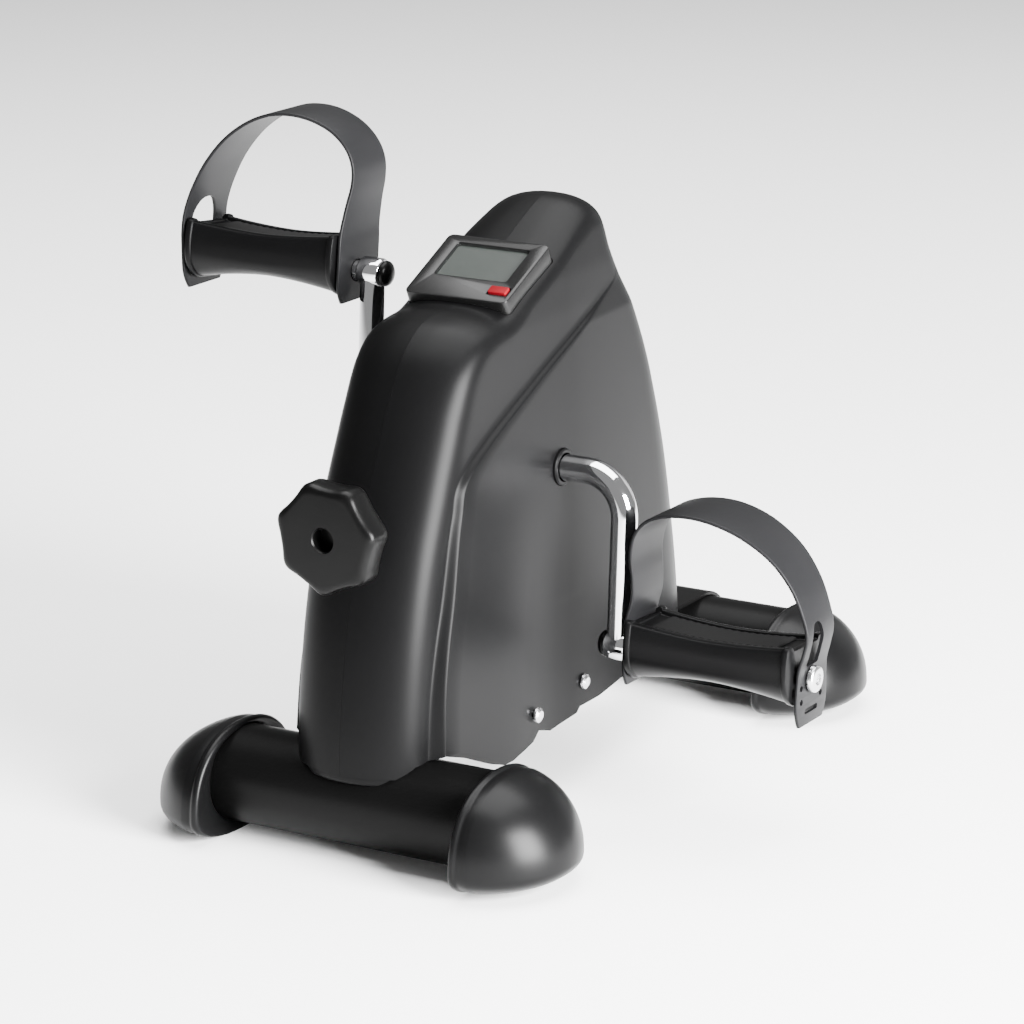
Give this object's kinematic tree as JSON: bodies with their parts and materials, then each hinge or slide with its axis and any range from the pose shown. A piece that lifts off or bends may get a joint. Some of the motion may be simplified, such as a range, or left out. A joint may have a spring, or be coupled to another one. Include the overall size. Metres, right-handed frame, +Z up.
{
  "type": "pedal exerciser",
  "caption": "Small floor pedal exerciser: cross tubes with end caps, moulded shroud, bent cranks, strapped pedals, tension knob and a sloping display.",
  "frame": {"origin": "on the floor at the middle of the object's box in X, midway between the two cross tubes' centres in Y", "axes": "+X to the object's right, along the crank axle; +Y to the back, from the knob to the tail; +Z up"},
  "size_m": [0.4196, 0.448, 0.3799],
  "materials": {
    "black_steel": "satin black powder coat",
    "shroud_plastic": "fine satin moulded surface",
    "cap_plastic": "satin moulded surface",
    "pedal_plastic": "satin moulded surface",
    "strap_plastic": "flexible matte dark grey plastic",
    "tread_rubber": "matte",
    "knob_plastic": "satin",
    "chrome": "bright chrome plate",
    "zinc_steel": "zinc plated",
    "wheel_iron": "machined",
    "bronze": "plain bearing bronze",
    "felt": "dense felt",
    "console_plastic": "satin",
    "lcd_grey": "grey-green display",
    "lens_clear": "clear window",
    "button_red": "satin red",
    "board_green": "circuit board"
  },
  "bodies": {
    "base": {"front_base_tube": "black_steel", "rear_base_tube": "black_steel", "frame_spine": "black_steel", "rear_bracket": "black_steel", "side_plate_right": "black_steel", "side_plate_left": "black_steel", "knob_bracket": "black_steel", "carrier_guide": "black_steel", "screw_tab_right": "black_steel", "screw_tab_left": "black_steel", "cap_front_right": "cap_plastic", "cap_front_left": "cap_plastic", "cap_rear_right": "cap_plastic", "cap_rear_left": "cap_plastic", "front_saddle": "shroud_plastic", "shroud_right": "shroud_plastic", "shroud_left": "shroud_plastic", "bush_right": "shroud_plastic", "bush_left": "shroud_plastic", "bearing_right": "bronze", "bearing_left": "bronze", "knob_bushing": "bronze", "shroud_screw_right_front": "zinc_steel", "shroud_screw_right_rear": "zinc_steel", "shroud_screw_left_front": "zinc_steel", "shroud_screw_left_rear": "zinc_steel", "console_case": "console_plastic", "lcd_panel": "lcd_grey", "lcd_lens": "lens_clear", "display_board": "board_green", "sensor_reed": "board_green", "battery": "zinc_steel", "battery_clip": "zinc_steel"},
    "crank": {"crank_hub": "zinc_steel", "sensor_magnet": "zinc_steel", "spindle_right": "zinc_steel", "spindle_left": "zinc_steel", "drag_wheel": "wheel_iron", "crank_right": "chrome", "crank_left": "chrome", "cap_nut_right": "knob_plastic", "cap_nut_left": "knob_plastic"},
    "pedal_right_body": {"pedal_right": "pedal_plastic", "tread_right": "tread_rubber", "strap_right": "strap_plastic"},
    "pedal_left_body": {"pedal_left": "pedal_plastic", "tread_left": "tread_rubber", "strap_left": "strap_plastic"},
    "knob_body": {"knob": "knob_plastic", "tension_screw": "zinc_steel"},
    "pad_body": {"pad_carrier": "zinc_steel", "brake_pad": "felt"},
    "button_body": {"reset_button": "button_red"}
  },
  "joints": [
    {"name": "crank_spin", "type": "hinge", "parent": "base", "child": "crank", "pos_m": [0, -0.0369, 0.1935], "axis": [1, 0, 0], "continuous": true},
    {"name": "pedal_right_spin", "type": "hinge", "parent": "crank", "child": "pedal_right_body", "pos_m": [0.15, -0.04306, 0.0967], "axis": [1, 0, 0], "continuous": true},
    {"name": "pedal_left_spin", "type": "hinge", "parent": "crank", "child": "pedal_left_body", "pos_m": [-0.15, -0.03074, 0.2903], "axis": [1, 0, 0], "continuous": true},
    {"name": "knob_turn", "type": "hinge", "parent": "base", "child": "knob_body", "pos_m": [0, -0.18, 0.188], "axis": [0, 1, 0], "range_deg": [0, 1080]},
    {"name": "pad_slide", "type": "slide", "parent": "base", "child": "pad_body", "axis": [0, 1, 0], "range_m": [0, 0.0045]},
    {"name": "button_press", "type": "slide", "parent": "base", "child": "button_body", "axis": [0, 0.4321, -0.9018], "range_m": [0, 0.0012], "stiffness_N_per_m": 800, "springref_m": -0.0006}
  ],
  "couplings": [
    {"joint": "pad_slide", "follows": "knob_turn", "m_per_rad": 0.00023873}
  ]
}
